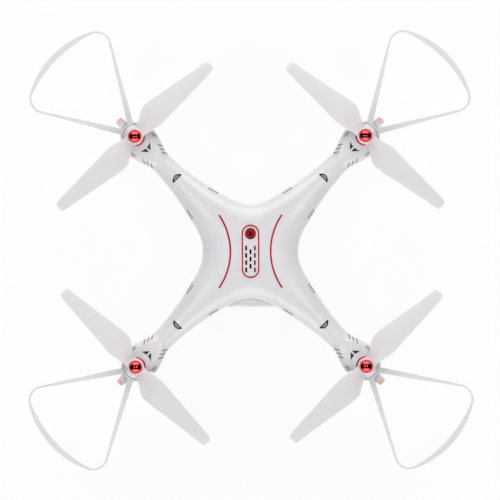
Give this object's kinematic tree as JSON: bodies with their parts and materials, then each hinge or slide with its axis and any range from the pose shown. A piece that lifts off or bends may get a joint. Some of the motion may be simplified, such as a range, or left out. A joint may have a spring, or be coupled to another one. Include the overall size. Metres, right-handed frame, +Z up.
{
  "type": "quadcopter drone",
  "caption": "Camera quadcopter with an X-shaped body, geared rotors with guards, slide-in battery, tilting belly camera and hoop landing legs.",
  "frame": {"origin": "on the floor under the middle of the body, at the level of the skids' flat undersides", "axes": "+Z up, +Y to the front where the camera looks, +X to the right"},
  "size_m": [0.4966, 0.4966, 0.1706],
  "materials": {
    "white_gloss": "glossy moulded white plastic",
    "white_satin": "satin off-white plastic",
    "red_trim": "deep red inlay",
    "red_metal": "red anodised, polished",
    "lamp_pink": "translucent pink lens",
    "dark_plastic": "black moulded plastic",
    "steel": "plain steel",
    "brass": "plain brass",
    "gear_plastic": "natural nylon",
    "board_green": "green circuit board",
    "cell_wrap": "blue film wrap",
    "lens_glass": "coated dark glass"
  },
  "bodies": {
    "airframe": {"motor_front_left": "steel", "bearing_collar_front_left": "red_metal", "lamp_lens_front_left": "lamp_pink", "prop_guard_front_left": "white_satin", "motor_front_right": "steel", "bearing_collar_front_right": "red_metal", "lamp_lens_front_right": "lamp_pink", "prop_guard_front_right": "white_satin", "motor_rear_left": "steel", "bearing_collar_rear_left": "red_metal", "lamp_lens_rear_left": "lamp_pink", "prop_guard_rear_left": "white_satin", "motor_rear_right": "steel", "bearing_collar_rear_right": "red_metal", "lamp_lens_rear_right": "lamp_pink", "prop_guard_rear_right": "white_satin", "upper_shell": "white_gloss", "lower_shell": "white_gloss", "deck_trim_ring": "red_trim", "arc_trim_left": "red_trim", "arc_trim_right": "red_trim", "power_switch": "dark_plastic", "main_board": "board_green", "battery_bay": "dark_plastic", "camera_bracket": "dark_plastic", "camera_hinge_pin": "steel", "landing_leg_left": "white_satin", "landing_leg_right": "white_satin"},
    "battery": {"battery_case": "dark_plastic", "battery_cells": "cell_wrap", "battery_end_cap": "white_gloss"},
    "camera": {"camera_housing": "white_gloss", "camera_lens_barrel": "dark_plastic", "camera_lens_glass": "lens_glass"},
    "button": {"power_button": "red_trim"},
    "rotor_front_left": {"propeller_front_left": "white_satin", "spinner_nut_front_left": "red_metal", "prop_shaft_front_left": "steel", "drive_gear_front_left": "gear_plastic"},
    "pinion_front_left": {"pinion_front_left": "brass", "motor_shaft_front_left": "steel"},
    "rotor_front_right": {"propeller_front_right": "white_satin", "spinner_nut_front_right": "red_metal", "prop_shaft_front_right": "steel", "drive_gear_front_right": "gear_plastic"},
    "pinion_front_right": {"pinion_front_right": "brass", "motor_shaft_front_right": "steel"},
    "rotor_rear_left": {"propeller_rear_left": "white_satin", "spinner_nut_rear_left": "red_metal", "prop_shaft_rear_left": "steel", "drive_gear_rear_left": "gear_plastic"},
    "pinion_rear_left": {"pinion_rear_left": "brass", "motor_shaft_rear_left": "steel"},
    "rotor_rear_right": {"propeller_rear_right": "white_satin", "spinner_nut_rear_right": "red_metal", "prop_shaft_rear_right": "steel", "drive_gear_rear_right": "gear_plastic"},
    "pinion_rear_right": {"pinion_rear_right": "brass", "motor_shaft_rear_right": "steel"}
  },
  "joints": [
    {"name": "rotor_spin_front_left", "type": "hinge", "parent": "airframe", "child": "rotor_front_left", "pos_m": [-0.127, 0.127, 0.15], "axis": [0, 0, 1], "continuous": true},
    {"name": "pinion_spin_front_left", "type": "hinge", "parent": "airframe", "child": "pinion_front_left", "pos_m": [-0.11625, 0.11625, 0.12], "axis": [0, 0, 1], "continuous": true},
    {"name": "rotor_spin_front_right", "type": "hinge", "parent": "airframe", "child": "rotor_front_right", "pos_m": [0.127, 0.127, 0.15], "axis": [0, 0, 1], "continuous": true},
    {"name": "pinion_spin_front_right", "type": "hinge", "parent": "airframe", "child": "pinion_front_right", "pos_m": [0.11625, 0.11625, 0.12], "axis": [0, 0, 1], "continuous": true},
    {"name": "rotor_spin_rear_left", "type": "hinge", "parent": "airframe", "child": "rotor_rear_left", "pos_m": [-0.127, -0.127, 0.15], "axis": [0, 0, 1], "continuous": true},
    {"name": "pinion_spin_rear_left", "type": "hinge", "parent": "airframe", "child": "pinion_rear_left", "pos_m": [-0.11625, -0.11625, 0.12], "axis": [0, 0, 1], "continuous": true},
    {"name": "rotor_spin_rear_right", "type": "hinge", "parent": "airframe", "child": "rotor_rear_right", "pos_m": [0.127, -0.127, 0.15], "axis": [0, 0, 1], "continuous": true},
    {"name": "pinion_spin_rear_right", "type": "hinge", "parent": "airframe", "child": "pinion_rear_right", "pos_m": [0.11625, -0.11625, 0.12], "axis": [0, 0, 1], "continuous": true},
    {"name": "power_press", "type": "slide", "parent": "airframe", "child": "button", "axis": [0, 0, -1], "range_m": [0, 0.0015], "stiffness_N_per_m": 400, "springref_m": -0.002},
    {"name": "battery_slide", "type": "slide", "parent": "airframe", "child": "battery", "axis": [0, -1, 0], "range_m": [0, 0.085]},
    {"name": "camera_tilt", "type": "hinge", "parent": "airframe", "child": "camera", "pos_m": [0, 0.024, 0.072], "axis": [1, 0, 0], "range_deg": [-50, 15]}
  ],
  "couplings": [
    {"joint": "pinion_spin_front_left", "follows": "rotor_spin_front_left", "ratio": -3.75},
    {"joint": "pinion_spin_front_right", "follows": "rotor_spin_front_right", "ratio": -3.75},
    {"joint": "pinion_spin_rear_left", "follows": "rotor_spin_rear_left", "ratio": -3.75},
    {"joint": "pinion_spin_rear_right", "follows": "rotor_spin_rear_right", "ratio": -3.75}
  ]
}
